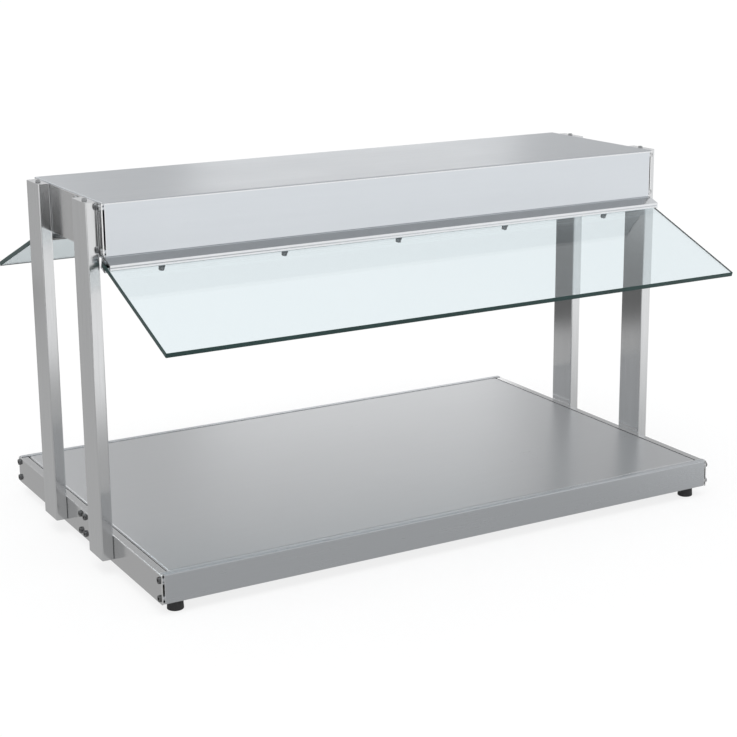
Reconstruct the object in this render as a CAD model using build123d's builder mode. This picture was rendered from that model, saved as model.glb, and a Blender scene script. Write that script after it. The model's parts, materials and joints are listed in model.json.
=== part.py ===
from build123d import *
import os
from math import cos, radians, sin

# Buffet warmer: an overhead heat and light housing on four posts, over a low heated shelf.
# Millimetres. X runs along the width, Y from the guests' side (front) to the operator's side (rear), Z up.
# The origin lies on the table, under the middle of the base.

# Main sizes
base_width = 782.0  # over the outer faces of the end plates, base and housing alike
base_depth = 496.0  # over the front and rear rails
base_height = 36.0
foot_height = 13.5
serving_height = 336.0  # from the top of the base rails to the underside of the housing
housing_depth = 228.0
housing_height = 62.5

# Clearances
thread_clearance = 0.05  # round a screw, or between a liner and its pocket
fit_clearance = 0.3  # between pieces that drop or turn in one another

# Shared by all screws and cuts
screw_head_taper = 12.0
screw_tip_gap = 1.0  # between a screw's tip and the end of its hole
cut_overrun = 1.0  # how far an open-ended cut runs past its piece

# Base rails
rail_wall = 2.0
rail_top_lip = 8.0
rail_bottom_lip = 26.0
rail_edge_radius = 2.0
shadow_gap = 2.0  # between the outer walls' ends and the end plates
ledge_depth = 18.0  # from the rail's outer face to the edge of the ledge that carries the shelf

# End plates of the base and the housing
end_plate_thickness = 1.5
end_plate_inset = 0.8  # from the faces of the rails and panels
end_plate_drop = 1.0  # from the top of the base rails
end_flange_width = 10.0
end_flange_gap = 1.0  # between the flange and the rails' top lips
end_edge_radius = 1.2

# Screws through the end plates, and the bosses that take them
end_screw_radius = 2.0
end_screw_length = 16.0
end_screw_head_radius = 4.3
end_screw_head_height = 2.4
end_screw_recess = 1.4
port_radius = 3.5
port_length = 30.0
port_inset = 5.0  # from the outer face of the rail or panel
low_port_height = 6.8  # above the bottom of the base
high_port_height = 28.5

# Centre beam of the base
beam_width = 24.0
beam_wall = 2.0
beam_port_pitch = 15.2

# Heated shelf, its heaters and its insulation
shelf_drop = 0.4  # below the top of the base rails
shelf_height = 9.6
shelf_thickness = 3.0
shelf_skirt = 2.0
shelf_edge_radius = 2.5
shelf_corner_radius = 4.0
shelf_end_gap = 1.6  # dark gap between the shelf and the end flanges
shelf_side_gap = 0.8
heater_thickness = 1.6
pad_margin = 2.0  # from heater or insulation to what stands beside it
wiring_channel = 58.0  # free depth behind the rear insulation, measured from the rear face

# Bottom cover of the base
cover_gap = 1.0  # from the cover's long edges to the screw bosses
cover_thickness = 1.2
vent_length = 34.0
vent_width = 4.0
vent_pitch = 60.0
vent_rows_apart = 240.0

# Feet
foot_top_radius = 9.0
foot_bottom_radius = 9.8
foot_edge_radius = 1.0
foot_from_end = 22.0
foot_from_face = 16.0
foot_recess_radius = 5.5
foot_recess_depth = 5.5
foot_screw_radius = 2.5
foot_screw_head_radius = 4.6
foot_screw_head_height = 2.5
foot_nut_radius = 4.6
foot_nut_height = 4.0
foot_screw_end = 1.0  # how far the screw stands out of its nut

# Posts, their caps and their bolts
post_width = 14.5
post_depth = 44.5
post_wall = 1.6
post_corner_radius = 1.5
post_bore_radius = 0.5
post_inset = 34.0  # from the housing's face to the middle of the post
post_rise = 5.5  # from the bottom of the base to the post's lower end
post_drop = 2.5  # from the top of the housing to the post's upper end
cap_thickness = 1.5
cap_plug_depth = 8.0
cap_screw_radius = 1.5
cap_screw_length = 9.0
cap_screw_head_radius = 3.3
cap_screw_head_height = 2.2
cap_screw_recess = 1.2
post_bolt_radius = 2.5
post_bolt_head_radius = 4.4
post_bolt_head_height = 3.0
post_nut_radius = 4.5
post_nut_length = 6.0
base_bolt_heights = (12.0, 27.0)  # above the bottom of the base
housing_bolt_heights = (14.0, 46.0)  # above the underside of the housing

# Housing panels, top cover and divider
panel_wall = 2.0
panel_top_lip = 12.0
panel_bottom_lip = 22.0
panel_edge_radius = 1.0
panel_low_port = 5.6  # above the underside of the housing
panel_high_port = 5.0  # below the top of the panel
top_sheet = 2.0
top_edge_radius = 1.2
housing_plate_rise = 2.5  # of the end plates above the underside of the housing
divider_from_front = 81.0
divider_web = 1.5
divider_front_lip = 19.0
divider_rear_lip = 18.0
divider_top_lip = 6.0

# Heat lane
reflector_sheet = 1.0
reflector_foot = 5.0
reflector_front_setback = 9.0  # from the divider to the mouth
reflector_rear_setback = 14.0  # from the rear face to the mouth
reflector_height = 37.0
reflector_slope = 26.0  # how far each side leans in
reflector_end_gap = 4.0
element_radius = 5.5
element_pin_radius = 2.5
element_pin_gap = 1.0  # from the pin's end to the end plate
element_height = 16.0  # of its axis above the lips
insulator_length = 18.0
insulator_size = 26.0
insulator_corner_radius = 5.0
insulator_seat = 5.0  # depth of the pocket that holds the element's end
wire_radius = 1.5
wire_pitch = 50.0
wire_end_margin = 41.0
wire_end_gap = 4.0  # from the reflector's mouth
wire_bars_apart = 32.0
wire_bar_overhang = 4.5  # past the last cross wires
wire_weld = 0.3  # how far crossing wires sink into each other

# Light lane
tray_sheet = 1.0
tray_foot = 5.0
tray_front_setback = 15.0  # from the front face to the mouth
tray_rear_setback = 14.0  # from the divider to the mouth
tray_height = 45.0
tray_slope = 4.0
lamp_from_end = 131.0
lamp_height = 23.0  # of its axis above the lips
lamp_radius = 14.0
lamp_length = 80.0
lamp_neck_radius = 11.0
lamp_base_radius = 12.5
lamp_base_length = 22.0
socket_radius = 15.5
socket_length = 30.0
socket_floor = 6.0
bracket_length = 16.0
bracket_width = 12.0

# Guards: rail, glass, gasket and screws
guard_end_inset = 1.0
guard_angle = 21.0
glass_length = 190.0
glass_thickness = 6.0
glass_edge = 0.6
glass_setback = 6.9  # of the glass's upper corner behind the housing's face
glass_drop = 6.1  # of that corner below the underside of the housing
gasket_thickness = 1.0
guard_wall = 2.2
guard_flange = 22.0
visor_gap = 0.7
visor_reach = 16.8
visor_fall = 6.6
visor_lip = 6.8
lip_edge_radius = 1.2
lip_groove_depth = 0.9
jaw_depth = 9.0
jaw_thickness = 3.0
jaw_back = 2.5
upper_jaw_depth = 7.0
clamp_screw_radius = 2.0
clamp_screw_head_radius = 4.4
clamp_screw_head_height = 10.0
clamp_screw_taper = 6.0
clamp_screw_depth = 4.5
clamp_screw_count = 5
guard_screw_from_end = 72.0
rail_screw_radius = 2.0
rail_screw_head_radius = 3.5
rail_screw_head_height = 2.2
rail_screw_inset = 18.0

# Controls on the operator's side
knob_from_end = 101.0
rocker_from_end = 156.0
pilot_from_end = 191.0
gland_from_end = 51.0
base_control_height = 14.0  # above the bottom of the base
housing_control_height = 40.0  # above the underside of the housing
control_width = 34.0
control_height = 18.0
control_depth = 20.0
bush_radius = 4.2
bush_length = 1.5
shaft_radius = 3.0
shaft_seat = 7.5
knob_radius = 13.0
knob_skirt = 4.0
knob_skirt_taper = 10.0
knob_grip_radius = 9.6
knob_height = 15.0
knob_gap = 2.0
knob_bore_depth = 9.0
knob_flutes = 12
knob_flute_radius = 1.5
knob_flute_depth = 1.0
knob_pointer_width = 2.0
knob_pointer_length = 6.6
knob_pointer_height = 1.0
switch_width = 13.0
switch_height = 19.0
switch_depth = 18.0
bezel_width = 15.0
bezel_height = 21.0
bezel_thickness = 2.0
bezel_corner_radius = 1.0
rocker_width = 10.0
rocker_half_height = 8.2
rocker_crest = 3.4
rocker_valley = 2.0
rocker_back = 5.0
rocker_tilt = 8.0
rocker_pivot_radius = 1.2
rocker_pivot_length = 0.8
rocker_pivot_inset = 1.0
switch_pocket_depth = 8.0
pilot_radius = 4.0
pilot_flange_radius = 5.5
pilot_lens_height = 3.5
pilot_lens_taper = 25.0
pilot_depth = 14.0
gland_radius = 8.0
gland_bore_radius = 4.5
gland_flange_radius = 11.0
gland_flange_height = 3.0
gland_taper = 12.0
gland_snap_radius = 9.0
gland_snap_height = 4.0

# Wiring
terminal_from_end = 111.0
terminal_from_face = 38.0
terminal_length = 46.0
terminal_width = 20.0
terminal_height = 16.0
terminal_count = 4
terminal_well_radius = 3.0
terminal_well_depth = 5.0
loom_radius = 3.0
loom_bend = 8.5
loom_from_end = 10.5
loom_hole_clearance = 1.5
loom_offset = 14.0  # from the middle of the rear post towards the rear
loom_height = 14.0  # above the bottom of the base

# Levels and places worked out from the sizes above
half_width = base_width / 2
inner_half_width = half_width - end_plate_thickness
half_depth = base_depth / 2
base_bottom = foot_height
base_top = base_bottom + base_height
end_plate_top = base_top - end_plate_drop
cover_top = base_bottom + rail_wall + cover_thickness
shelf_top = base_top - shelf_drop
shelf_underside = shelf_top - shelf_thickness
ledge_top = shelf_top - shelf_height
heater_bottom = shelf_underside - heater_thickness
shelf_half_width = half_width - end_flange_width - shelf_end_gap
shelf_half_depth = half_depth - rail_top_lip - shelf_side_gap
pad_half_width = shelf_half_width - shelf_skirt - pad_margin
housing_bottom = base_top + serving_height
housing_top = housing_bottom + housing_height
housing_face = housing_depth / 2
panel_top = housing_top - top_sheet
lip_top = housing_bottom + panel_wall
post_bottom = base_bottom + post_rise
post_top = housing_top - post_drop
post_x = half_width + post_width / 2
post_y = housing_face - post_inset
divider_y = divider_from_front - housing_face
foot_x = half_width - foot_from_end
foot_y = half_depth - foot_from_face
guard_width = base_width - 2 * guard_end_inset
guard_tilt = radians(guard_angle)
mouth_front = divider_y + reflector_front_setback
mouth_rear = housing_face - reflector_rear_setback
element_y = (mouth_front + mouth_rear) / 2
element_z = lip_top + element_height
light_mouth_front = panel_bottom_lip - housing_face
light_mouth_rear = divider_y - divider_front_lip
lamp_y = (light_mouth_front + light_mouth_rear) / 2
lamp_z = lip_top + lamp_height
lamp_pitch = half_width - lamp_from_end
base_control_z = base_bottom + base_control_height
housing_control_z = housing_bottom + housing_control_height
knob_x = knob_from_end - half_width
rocker_x = rocker_from_end - half_width
loom_y = post_y + loom_offset
loom_low = base_bottom + loom_height
loom_high = housing_control_z

corners = [(end, face) for end in (-1, 1) for face in (-1, 1)]
end_names = {-1: "left", 1: "right"}
face_names = {-1: "front", 1: "rear"}

rail_port_heights = (base_bottom + low_port_height, base_bottom + high_port_height)
panel_port_heights = (housing_bottom + panel_low_port, panel_top - panel_high_port)
beam_ports = [(y, z) for y in (-beam_port_pitch / 2, beam_port_pitch / 2) for z in rail_port_heights]
base_screw_points = beam_ports + [
    (face * (half_depth - port_inset), z) for face in (-1, 1) for z in rail_port_heights
]
divider_port = (divider_y, panel_port_heights[1])
housing_screw_points = [divider_port] + [
    (face * (housing_face - port_inset), z) for face in (-1, 1) for z in panel_port_heights
]
base_bolt_points = [(face * post_y, base_bottom + h) for face in (-1, 1) for h in base_bolt_heights]
housing_bolt_points = [
    (face * post_y, housing_bottom + h) for face in (-1, 1) for h in housing_bolt_heights
]
guard_screw_span = guard_width / 2 - guard_screw_from_end
guard_screw_xs = [
    guard_screw_span * (2 * i / (clamp_screw_count - 1) - 1) for i in range(clamp_screw_count)
]

os.makedirs("parts", exist_ok=True)


def finish(builder, name):
    """Label a finished piece and write it to its own file."""
    builder.part.label = name
    export_step(builder.part, f"parts/{name}.step")


def folded_sheet(path, thickness):
    """Closed outline of a folded sheet that lies on the left of the given line."""
    points = [Vector(*point) for point in path]
    normals = []
    for start, end in zip(points, points[1:]):
        run = end - start
        normals.append(Vector(-run.Y, run.X).normalized())
    outer = []
    for i, point in enumerate(points):
        both = normals[max(i - 1, 0)] + normals[min(i, len(normals) - 1)]
        outer.append(point + both * (2 * thickness / both.length**2))
    return [(p.X, p.Y) for p in points + outer[::-1]]


def rear_plane(x, face, z):
    """Plane on a rear face, looking out of it."""
    return Plane(origin=(x, face, z), x_dir=(1, 0, 0), z_dir=(0, 1, 0))


def add_screw_ports(points):
    """Tapped bosses inside both ends of a long piece."""
    for end in (-1, 1):
        end_plane = Plane.YZ.offset(end * inner_half_width)
        with BuildSketch(end_plane) as bosses:
            with Locations(*points):
                Circle(port_radius)
        extrude(bosses.sketch, amount=-end * port_length)
        with BuildSketch(end_plane) as bores:
            with Locations(*points):
                Circle(end_screw_radius + thread_clearance)
        extrude(bores.sketch, amount=-end * end_screw_length, mode=Mode.SUBTRACT)


def cut_shadow_gaps(face, outer, wall, bottom, top):
    """Shorten a long piece's outer wall at both ends, which leaves a dark line beside the end plates."""
    gap_x = inner_half_width - shadow_gap / 2
    middle = (bottom + top) / 2
    with BuildSketch(Plane.XZ.offset(-outer)) as gaps:
        with Locations((-gap_x, middle), (gap_x, middle)):
            Rectangle(shadow_gap, top - bottom)
    extrude(gaps.sketch, amount=face * wall, mode=Mode.SUBTRACT)


def add_end_screws(points):
    """Pan head screws through both end plates."""
    for end in (-1, 1):
        end_plane = Plane.YZ.offset(end * half_width)
        with BuildSketch(end_plane) as heads:
            with Locations(*points):
                Circle(end_screw_head_radius)
        extrude(heads.sketch, amount=end * end_screw_head_height, taper=screw_head_taper)
        with BuildSketch(end_plane) as shanks:
            with Locations(*points):
                Circle(end_screw_radius)
        extrude(shanks.sketch, amount=-end * (end_plate_thickness + end_screw_length - screw_tip_gap))
        with BuildSketch(end_plane.offset(end * end_screw_head_height)) as recesses:
            with Locations(*points):
                RegularPolygon(end_screw_radius, 6)
        extrude(recesses.sketch, amount=-end * end_screw_recess, mode=Mode.SUBTRACT)


def cut_rear_holes(face, wall, round_holes, square_holes):
    """Cut the control holes through a rear wall."""
    with BuildSketch(rear_plane(0, face, 0)) as holes:
        for x, z, radius in round_holes:
            with Locations((x, -z)):
                Circle(radius)
        for x, z, width, height in square_holes:
            with Locations((x, -z)):
                Rectangle(width, height)
    extrude(holes.sketch, amount=-wall, mode=Mode.SUBTRACT)


# Base: rails, end plates, beam and cover


def base_rail(face, round_holes=(), square_holes=()):
    """Rail along the front or the rear of the base, with a ledge for the shelf."""
    outer = face * half_depth

    def inside(distance):
        return outer - face * distance

    with BuildPart() as rail:
        with BuildSketch(Plane.YZ) as profile:
            with BuildLine():
                Polyline(
                    (outer, base_bottom),
                    (outer, base_top),
                    (inside(rail_top_lip), base_top),
                    (inside(rail_top_lip), base_top - rail_wall),
                    (inside(rail_wall), base_top - rail_wall),
                    (inside(rail_wall), ledge_top),
                    (inside(ledge_depth), ledge_top),
                    (inside(ledge_depth), ledge_top - rail_wall),
                    (inside(rail_wall), ledge_top - rail_wall),
                    (inside(rail_wall), base_bottom + rail_wall),
                    (inside(rail_bottom_lip), base_bottom + rail_wall),
                    (inside(rail_bottom_lip), base_bottom),
                    close=True,
                )
            make_face()
            fillet(profile.vertices().filter_by(lambda v: abs(v.X - outer) < 0.01), rail_edge_radius)
        extrude(amount=inner_half_width, both=True)
        cut_shadow_gaps(face, outer, rail_wall, base_bottom, base_top)
        add_screw_ports([(inside(port_inset), z) for z in rail_port_heights])
        with BuildSketch(Plane.XY.offset(base_bottom)):
            with Locations((-foot_x, face * foot_y), (foot_x, face * foot_y)):
                Circle(foot_screw_radius + thread_clearance)
        extrude(amount=rail_wall, mode=Mode.SUBTRACT)
        if round_holes:
            cut_rear_holes(outer, rail_wall, round_holes, square_holes)
    finish(rail, f"base_{face_names[face]}_rail")


base_rail(-1)
base_rail(
    1,
    round_holes=[
        (knob_x, base_control_z, bush_radius + fit_clearance),
        (pilot_from_end - half_width, base_control_z, pilot_radius + fit_clearance),
        (gland_from_end - half_width, base_control_z, gland_radius + thread_clearance),
    ],
    square_holes=[
        (rocker_x, base_control_z, switch_width + 2 * fit_clearance, switch_height + 2 * fit_clearance)
    ],
)


def base_end_plate(end):
    """End plate of the base, with a flange along its top edge."""
    outer = end * half_width
    with BuildPart() as plate:
        with BuildSketch(Plane.YZ.offset(outer)):
            with Locations((0, (base_bottom + end_plate_top) / 2)):
                Rectangle(base_depth - 2 * end_plate_inset, end_plate_top - base_bottom)
            with Locations(*base_screw_points):
                Circle(end_screw_radius + thread_clearance, mode=Mode.SUBTRACT)
            with Locations(*base_bolt_points):
                Circle(post_bolt_radius + thread_clearance, mode=Mode.SUBTRACT)
            if end < 0:
                with Locations((loom_y, loom_low)):
                    Circle(loom_radius + loom_hole_clearance, mode=Mode.SUBTRACT)
        extrude(amount=-end * end_plate_thickness)
        with BuildSketch(Plane.XY.offset(end_plate_top)):
            with Locations((outer - end * end_flange_width / 2, 0)):
                Rectangle(end_flange_width, base_depth - 2 * (rail_top_lip + end_flange_gap))
        extrude(amount=-end_plate_thickness)
        along = plate.edges().filter_by(Axis.Y)
        fillet(along.sort_by(lambda e: end * e.center().X + e.center().Z)[-1], end_edge_radius)
    finish(plate, f"base_{end_names[end]}_end_plate")


for end in (-1, 1):
    base_end_plate(end)

with BuildPart() as base_end_screws:
    add_end_screws(base_screw_points)
finish(base_end_screws, "base_end_screws")

with BuildPart() as base_centre_beam:
    with BuildSketch(Plane.YZ):
        with Locations((0, (cover_top + shelf_underside) / 2)):
            Rectangle(beam_width, shelf_underside - cover_top)
            Rectangle(
                beam_width - 2 * beam_wall,
                shelf_underside - cover_top - 2 * beam_wall,
                mode=Mode.SUBTRACT,
            )
    extrude(amount=inner_half_width, both=True)
    add_screw_ports(beam_ports)
finish(base_centre_beam, "base_centre_beam")

with BuildPart() as base_bottom_cover:
    cover_half_width = inner_half_width - fit_clearance
    cover_half_depth = half_depth - port_inset - port_radius - cover_gap
    vent_count = int(2 * (cover_half_width - foot_from_end) / vent_pitch)
    with BuildSketch(Plane.XY.offset(cover_top)):
        Rectangle(2 * cover_half_width, 2 * cover_half_depth)
        with Locations(*[(end * foot_x, face * foot_y) for end, face in corners]):
            Circle(foot_screw_radius + thread_clearance, mode=Mode.SUBTRACT)
        with GridLocations(vent_pitch, vent_rows_apart, vent_count, 2):
            SlotOverall(vent_length, vent_width, mode=Mode.SUBTRACT)
    extrude(amount=-cover_thickness)
finish(base_bottom_cover, "base_bottom_cover")


# Heated shelf

with BuildPart() as shelf_plate:
    with BuildSketch(Plane.XY.offset(shelf_top)):
        RectangleRounded(2 * shelf_half_width, 2 * shelf_half_depth, shelf_corner_radius)
    extrude(amount=-shelf_height)
    fillet(shelf_plate.faces().sort_by(Axis.Z)[-1].edges(), shelf_edge_radius)
    with BuildSketch(Plane.XY.offset(ledge_top)):
        Rectangle(2 * (shelf_half_width - shelf_skirt), 2 * (shelf_half_depth - shelf_skirt))
    extrude(amount=shelf_height - shelf_thickness, mode=Mode.SUBTRACT)
    with BuildSketch(Plane.XY.offset(ledge_top)):
        Rectangle(2 * shelf_half_width, beam_width + 2 * fit_clearance)
    extrude(amount=shelf_height - shelf_thickness, mode=Mode.SUBTRACT)
finish(shelf_plate, "shelf_plate")

pad_front = rail_bottom_lip - half_depth
pad_rear = half_depth - wiring_channel
pad_beam = beam_width / 2 + pad_margin
pad_spans = [(pad_front, -pad_beam), (pad_beam, pad_rear)]


def pads(bottom, top, name):
    """Two flat pads, in front of the centre beam and behind it."""
    with BuildPart() as pair:
        with BuildSketch(Plane.XY.offset(bottom)):
            for low, high in pad_spans:
                with Locations((0, (low + high) / 2)):
                    Rectangle(2 * pad_half_width, high - low)
        extrude(amount=top - bottom)
    finish(pair, name)


pads(heater_bottom, shelf_underside, "shelf_heaters")
pads(cover_top, heater_bottom, "shelf_insulation")


# Feet and their fasteners


def foot(end, face):
    """Rubber foot with a recess for its screw."""
    centre = (end * foot_x, face * foot_y, 0)
    with BuildPart() as rubber:
        with BuildSketch(Plane(origin=centre, x_dir=(1, 0, 0), z_dir=(0, -1, 0))) as profile:
            with BuildLine():
                Polyline(
                    (foot_recess_radius, 0),
                    (foot_bottom_radius, 0),
                    (foot_top_radius, foot_height),
                    (foot_screw_radius + thread_clearance, foot_height),
                    (foot_screw_radius + thread_clearance, foot_recess_depth),
                    (foot_recess_radius, foot_recess_depth),
                    close=True,
                )
            make_face()
            fillet(profile.vertices().sort_by(Axis.X)[-1], foot_edge_radius)
        revolve(axis=Axis(centre, (0, 0, 1)))
    finish(rubber, f"{face_names[face]}_{end_names[end]}_foot")


for end, face in corners:
    foot(end, face)

with BuildPart() as foot_fasteners:
    foot_centres = [(end * foot_x, face * foot_y) for end, face in corners]
    with BuildSketch(Plane.XY.offset(foot_recess_depth)):
        with Locations(*foot_centres):
            Circle(foot_screw_head_radius)
    extrude(amount=-foot_screw_head_height, taper=screw_head_taper)
    with BuildSketch(Plane.XY.offset(foot_recess_depth)):
        with Locations(*foot_centres):
            Circle(foot_screw_radius)
    extrude(amount=cover_top + foot_nut_height + foot_screw_end - foot_recess_depth)
    with BuildSketch(Plane.XY.offset(cover_top)):
        with Locations(*foot_centres):
            RegularPolygon(foot_nut_radius, 6)
            Circle(foot_screw_radius + thread_clearance, mode=Mode.SUBTRACT)
    extrude(amount=foot_nut_height)
finish(foot_fasteners, "foot_fasteners")


# Posts, caps and bolts


def post(end, face):
    """Flat tube that stands outside the end plates."""
    centre = (end * post_x, face * post_y)
    with BuildPart() as tube:
        with BuildSketch(Plane.XY.offset(post_bottom)):
            with Locations(centre):
                RectangleRounded(post_width, post_depth, post_corner_radius)
                RectangleRounded(
                    post_width - 2 * post_wall,
                    post_depth - 2 * post_wall,
                    post_bore_radius,
                    mode=Mode.SUBTRACT,
                )
        extrude(amount=post_top - post_bottom)
        with BuildSketch(Plane.YZ.offset(end * half_width)):
            with Locations(*[p for p in base_bolt_points + housing_bolt_points if p[0] * face > 0]):
                Circle(post_bolt_radius + thread_clearance)
            if (end, face) == (-1, 1):
                with Locations((loom_y, loom_low), (loom_y, loom_high)):
                    Circle(loom_radius + loom_hole_clearance)
        extrude(amount=end * post_wall, mode=Mode.SUBTRACT)
    finish(tube, f"{face_names[face]}_{end_names[end]}_post")


for end, face in corners:
    post(end, face)

post_centres = [(end * post_x, face * post_y) for end, face in corners]

with BuildPart() as post_caps:
    with BuildSketch(Plane.XY.offset(post_top)):
        with Locations(*post_centres):
            RectangleRounded(post_width, post_depth, post_corner_radius)
    extrude(amount=cap_thickness)
    with BuildSketch(Plane.XY.offset(post_top)):
        with Locations(*post_centres):
            Rectangle(
                post_width - 2 * (post_wall + fit_clearance),
                post_depth - 2 * (post_wall + fit_clearance),
            )
    extrude(amount=-cap_plug_depth)
    with BuildSketch(Plane.XY.offset(post_top + cap_thickness)):
        with Locations(*post_centres):
            Circle(cap_screw_radius + thread_clearance)
    extrude(amount=-(cap_thickness + cap_plug_depth), mode=Mode.SUBTRACT)
finish(post_caps, "post_caps")

with BuildPart() as post_cap_screws:
    with BuildSketch(Plane.XY.offset(post_top + cap_thickness)):
        with Locations(*post_centres):
            Circle(cap_screw_head_radius)
    extrude(amount=cap_screw_head_height, taper=screw_head_taper)
    with BuildSketch(Plane.XY.offset(post_top + cap_thickness)):
        with Locations(*post_centres):
            Circle(cap_screw_radius)
    extrude(amount=-cap_screw_length)
    with BuildSketch(Plane.XY.offset(post_top + cap_thickness + cap_screw_head_height)):
        with Locations(*post_centres):
            RegularPolygon(cap_screw_radius, 6)
    extrude(amount=-cap_screw_recess, mode=Mode.SUBTRACT)
finish(post_cap_screws, "post_cap_screws")

with BuildPart() as post_fasteners:
    for end in (-1, 1):
        inner = Plane.YZ.offset(end * inner_half_width)
        bolt_points = base_bolt_points + housing_bolt_points
        with BuildSketch(inner):
            with Locations(*bolt_points):
                Circle(post_bolt_head_radius)
        extrude(amount=-end * post_bolt_head_height)
        with BuildSketch(inner):
            with Locations(*bolt_points):
                Circle(post_bolt_radius)
        extrude(amount=end * (end_plate_thickness + post_wall + post_nut_length))
        with BuildSketch(Plane.YZ.offset(end * (half_width + post_wall))):
            with Locations(*bolt_points):
                Circle(post_nut_radius)
                Circle(post_bolt_radius + thread_clearance, mode=Mode.SUBTRACT)
        extrude(amount=end * post_nut_length)
finish(post_fasteners, "post_fasteners")


# Housing: panels, top cover, end plates and divider


def housing_panel(face, round_holes=(), square_holes=()):
    """Front or rear panel of the housing, with lips along its top and bottom."""
    outer = face * housing_face

    def inside(distance):
        return outer - face * distance

    with BuildPart() as panel:
        with BuildSketch(Plane.YZ) as profile:
            with BuildLine():
                Polyline(
                    (outer, housing_bottom),
                    (outer, panel_top),
                    (inside(panel_top_lip), panel_top),
                    (inside(panel_top_lip), panel_top - panel_wall),
                    (inside(panel_wall), panel_top - panel_wall),
                    (inside(panel_wall), lip_top),
                    (inside(panel_bottom_lip), lip_top),
                    (inside(panel_bottom_lip), housing_bottom),
                    close=True,
                )
            make_face()
            lower = profile.vertices().group_by(Axis.Y)[0]
            fillet(lower.filter_by(lambda v: abs(v.X - outer) < 0.01), panel_edge_radius)
        extrude(amount=inner_half_width, both=True)
        cut_shadow_gaps(face, outer, panel_wall, housing_bottom, panel_top)
        add_screw_ports([(inside(port_inset), z) for z in panel_port_heights])
        with BuildSketch(Plane.XY.offset(housing_bottom)):
            with Locations(*[(x, inside(rail_screw_inset)) for x in guard_screw_xs]):
                Circle(rail_screw_radius + thread_clearance)
        extrude(amount=panel_wall, mode=Mode.SUBTRACT)
        if round_holes:
            cut_rear_holes(outer, panel_wall, round_holes, square_holes)
    finish(panel, f"housing_{face_names[face]}_panel")


housing_panel(-1)
housing_panel(
    1,
    round_holes=[(knob_x, housing_control_z, bush_radius + fit_clearance)],
    square_holes=[
        (rocker_x, housing_control_z, switch_width + 2 * fit_clearance, switch_height + 2 * fit_clearance)
    ],
)

with BuildPart() as housing_top_cover:
    with BuildSketch(Plane.XY.offset(housing_top)):
        Rectangle(base_width, housing_depth)
    extrude(amount=-top_sheet)
    fillet(housing_top_cover.faces().sort_by(Axis.Z)[-1].edges(), top_edge_radius)
finish(housing_top_cover, "housing_top_cover")


def housing_end_plate(end):
    """End plate of the housing, a little shorter than its panels."""
    plate_bottom = housing_bottom + housing_plate_rise
    with BuildPart() as plate:
        with BuildSketch(Plane.YZ.offset(end * half_width)):
            with Locations((0, (plate_bottom + panel_top) / 2)):
                Rectangle(housing_depth - 2 * end_plate_inset, panel_top - plate_bottom)
            with Locations(*housing_screw_points):
                Circle(end_screw_radius + thread_clearance, mode=Mode.SUBTRACT)
            with Locations(*housing_bolt_points):
                Circle(post_bolt_radius + thread_clearance, mode=Mode.SUBTRACT)
            if end < 0:
                with Locations((loom_y, loom_high)):
                    Circle(loom_radius + loom_hole_clearance, mode=Mode.SUBTRACT)
        extrude(amount=-end * end_plate_thickness)
    finish(plate, f"housing_{end_names[end]}_end_plate")


for end in (-1, 1):
    housing_end_plate(end)

with BuildPart() as housing_end_screws:
    add_end_screws(housing_screw_points)
finish(housing_end_screws, "housing_end_screws")

with BuildPart() as housing_divider:
    with BuildSketch(Plane.YZ):
        with Locations((divider_y, (housing_bottom + panel_top) / 2)):
            Rectangle(divider_web, panel_top - housing_bottom)
        lip_middle = divider_y + (divider_rear_lip - divider_front_lip) / 2
        with Locations((lip_middle, housing_bottom + panel_wall / 2)):
            Rectangle(divider_front_lip + divider_rear_lip, panel_wall)
        with Locations((divider_y, panel_top - divider_web / 2)):
            Rectangle(2 * divider_top_lip, divider_web)
    extrude(amount=inner_half_width, both=True)
    add_screw_ports([divider_port])
finish(housing_divider, "housing_divider")


# Heat lane: reflector, element, insulators and wire guard

with BuildPart() as heat_reflector:
    reflector_path = [
        (mouth_front - reflector_foot, lip_top),
        (mouth_front, lip_top),
        (mouth_front + reflector_slope, lip_top + reflector_height),
        (mouth_rear - reflector_slope, lip_top + reflector_height),
        (mouth_rear, lip_top),
        (mouth_rear + reflector_foot, lip_top),
    ]
    with BuildSketch(Plane.YZ):
        with BuildLine():
            Polyline(*folded_sheet(reflector_path, reflector_sheet), close=True)
        make_face()
    extrude(amount=inner_half_width - reflector_end_gap, both=True)
finish(heat_reflector, "heat_reflector")

insulator_mouth = inner_half_width - insulator_length

with BuildPart() as heating_element:
    element_half = insulator_mouth + insulator_seat - fit_clearance
    with BuildSketch(Plane.YZ):
        with Locations((element_y, element_z)):
            Circle(element_radius)
    extrude(amount=element_half, both=True)
    with BuildSketch(Plane.YZ):
        with Locations((element_y, element_z)):
            Circle(element_pin_radius)
    extrude(amount=inner_half_width - element_pin_gap, both=True)
finish(heating_element, "heating_element")

with BuildPart() as element_insulators:
    for end in (-1, 1):
        inner = Plane.YZ.offset(end * inner_half_width)
        mouth = Plane.YZ.offset(end * insulator_mouth)
        with BuildSketch(inner):
            with Locations((element_y, element_z)):
                RectangleRounded(insulator_size, insulator_size, insulator_corner_radius)
                Circle(element_pin_radius + fit_clearance, mode=Mode.SUBTRACT)
        extrude(amount=-end * insulator_length)
        with BuildSketch(mouth):
            with Locations((element_y, element_z)):
                Circle(element_radius + fit_clearance)
        extrude(amount=end * insulator_seat, mode=Mode.SUBTRACT)
finish(element_insulators, "element_insulators")

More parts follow.
